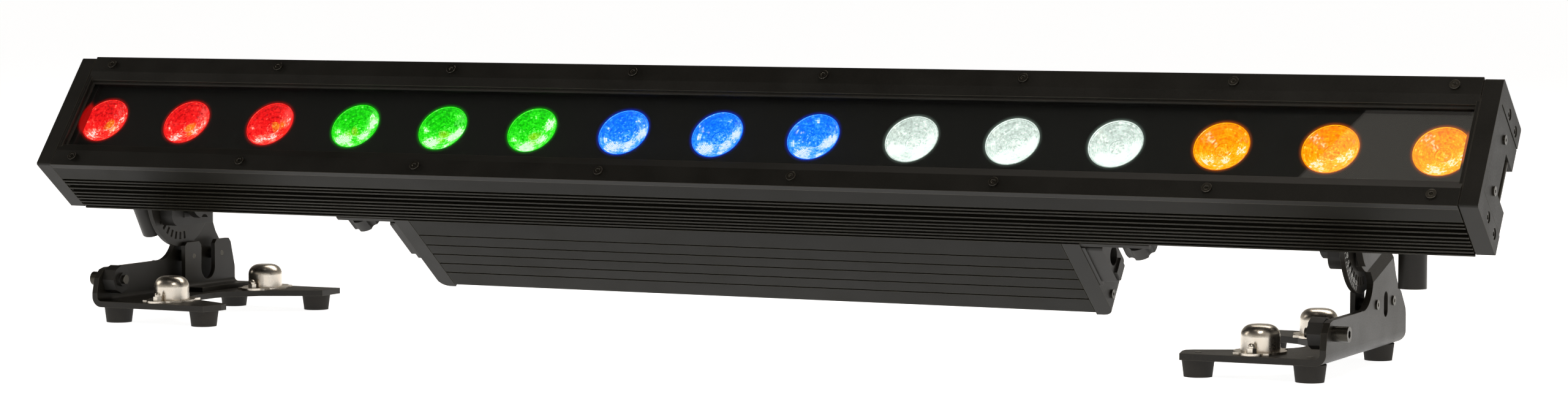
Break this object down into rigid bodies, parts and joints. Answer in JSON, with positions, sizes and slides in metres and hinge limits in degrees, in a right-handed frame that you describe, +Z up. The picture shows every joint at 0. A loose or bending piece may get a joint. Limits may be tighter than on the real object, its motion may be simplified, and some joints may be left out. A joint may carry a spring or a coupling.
{
  "type": "led strip batten",
  "caption": "Long tilted light bar with a row of coloured lenses, a power box behind it and two sliding, tilting floor brackets with lock domes.",
  "frame": {"origin": "centre of the bounding box at floor level, under the feet", "axes": "+X along the bar to the right as seen from the lit side, +Y away from the lit side, +Z up"},
  "size_m": [0.9974, 0.1782, 0.1788],
  "materials": {
    "anodised_black": "satin",
    "bare_steel": "polished",
    "black_steel": "satin",
    "rubber": "matte",
    "black_plastic": "matte",
    "clear_glass": "clear",
    "lens_red": "clear moulded",
    "lens_green": "clear moulded",
    "lens_blue": "clear moulded",
    "lens_white": "clear moulded",
    "lens_amber": "clear moulded",
    "circuit_board": "satin",
    "emitter": "gloss",
    "sheet_metal": "plain",
    "screen": "gloss"
  },
  "bodies": {
    "fixture": {"heatsink_body": "anodised_black", "front_bezel": "anodised_black", "bezel_screws": "black_steel", "glass_gasket": "rubber", "front_glass": "clear_glass", "lens_mask": "black_plastic", "lenses_red": "lens_red", "lenses_green": "lens_green", "lenses_blue": "lens_blue", "lenses_white": "lens_white", "lenses_amber": "lens_amber", "led_board": "circuit_board", "led_emitters": "emitter", "end_cap_left": "anodised_black", "end_cap_right": "anodised_black", "end_gaskets": "rubber", "link_plates": "anodised_black", "link_pins": "black_steel", "end_screws": "black_steel", "mounting_rail": "anodised_black", "driver_housing": "anodised_black", "driver_cap_left": "anodised_black", "driver_cap_right": "anodised_black", "box_screws": "black_steel", "power_supply": "sheet_metal", "driver_board": "circuit_board", "power_sockets": "black_plastic", "data_sockets": "black_plastic", "vent_plug": "black_plastic", "safety_eye": "bare_steel", "display_window": "screen"},
    "carriage_left": {"carriage_left": "black_steel", "tilt_disc_left": "black_steel"},
    "base_left": {"bracket_base_left": "black_steel", "ear_plate_left": "black_steel", "clamp_block_left": "black_plastic", "rubber_feet_left": "rubber", "bracket_bolts_left": "bare_steel", "receptacles_left": "bare_steel"},
    "tilt_knob_left": {"tilt_knob_left": "black_plastic"},
    "clamp_lever_left": {"clamp_lever_left": "black_steel"},
    "park_knob_left": {"park_knob_left": "black_plastic"},
    "box_knob_left": {"box_knob_left": "black_plastic"},
    "carriage_right": {"carriage_right": "black_steel", "tilt_disc_right": "black_steel"},
    "base_right": {"bracket_base_right": "black_steel", "ear_plate_right": "black_steel", "clamp_block_right": "black_plastic", "rubber_feet_right": "rubber", "bracket_bolts_right": "bare_steel", "receptacles_right": "bare_steel"},
    "tilt_knob_right": {"tilt_knob_right": "black_plastic"},
    "clamp_lever_right": {"clamp_lever_right": "black_steel"},
    "park_knob_right": {"park_knob_right": "black_plastic"},
    "box_knob_right": {"box_knob_right": "black_plastic"},
    "button_menu": {"button_menu": "black_plastic"},
    "button_up": {"button_up": "black_plastic"},
    "button_down": {"button_down": "black_plastic"},
    "button_enter": {"button_enter": "black_plastic"}
  },
  "joints": [
    {"name": "slide_left", "type": "slide", "parent": "fixture", "child": "carriage_left", "axis": [1, 0, 0], "range_m": [-0.004, 0.071]},
    {"name": "tilt_left", "type": "hinge", "parent": "carriage_left", "child": "base_left", "pos_m": [-0.414, 0.01572, 0.08318], "axis": [1, 0, 0], "range_deg": [-34, 82]},
    {"name": "tilt_knob_turn_left", "type": "hinge", "parent": "base_left", "child": "tilt_knob_left", "pos_m": [-0.432, 0.01572, 0.08318], "axis": [-1, 0, 0], "continuous": true},
    {"name": "clamp_lever_turn_left", "type": "hinge", "parent": "base_left", "child": "clamp_lever_left", "pos_m": [-0.474, 0.01572, 0.08318], "axis": [-1, 0, 0], "range_deg": [-120, 120]},
    {"name": "park_knob_turn_left", "type": "hinge", "parent": "base_left", "child": "park_knob_left", "pos_m": [-0.452, -0.0609, 0.0286], "axis": [-1, 0, 0], "continuous": true},
    {"name": "box_knob_turn_left", "type": "hinge", "parent": "fixture", "child": "box_knob_left", "pos_m": [-0.274, -0.03167, 0.07691], "axis": [0, 0.7902, -0.6129], "continuous": true},
    {"name": "slide_right", "type": "slide", "parent": "fixture", "child": "carriage_right", "axis": [1, 0, 0], "range_m": [-0.015, 0.0595]},
    {"name": "tilt_right", "type": "hinge", "parent": "carriage_right", "child": "base_right", "pos_m": [0.3582, 0.01572, 0.08318], "axis": [1, 0, 0], "range_deg": [-34, 82]},
    {"name": "tilt_knob_turn_right", "type": "hinge", "parent": "base_right", "child": "tilt_knob_right", "pos_m": [0.3762, 0.01572, 0.08318], "axis": [1, 0, 0], "continuous": true},
    {"name": "clamp_lever_turn_right", "type": "hinge", "parent": "base_right", "child": "clamp_lever_right", "pos_m": [0.4182, 0.01572, 0.08318], "axis": [1, 0, 0], "range_deg": [-120, 120]},
    {"name": "park_knob_turn_right", "type": "hinge", "parent": "base_right", "child": "park_knob_right", "pos_m": [0.3962, -0.0609, 0.0286], "axis": [1, 0, 0], "continuous": true},
    {"name": "box_knob_turn_right", "type": "hinge", "parent": "fixture", "child": "box_knob_right", "pos_m": [0.274, -0.03167, 0.07691], "axis": [0, 0.7902, -0.6129], "continuous": true},
    {"name": "press_menu", "type": "slide", "parent": "fixture", "child": "button_menu", "axis": [0, -0.7902, 0.6129], "range_m": [0, 0.0012], "stiffness_N_per_m": 500},
    {"name": "press_up", "type": "slide", "parent": "fixture", "child": "button_up", "axis": [0, -0.7902, 0.6129], "range_m": [0, 0.0012], "stiffness_N_per_m": 500},
    {"name": "press_down", "type": "slide", "parent": "fixture", "child": "button_down", "axis": [0, -0.7902, 0.6129], "range_m": [0, 0.0012], "stiffness_N_per_m": 500},
    {"name": "press_enter", "type": "slide", "parent": "fixture", "child": "button_enter", "axis": [0, -0.7902, 0.6129], "range_m": [0, 0.0012], "stiffness_N_per_m": 500}
  ]
}
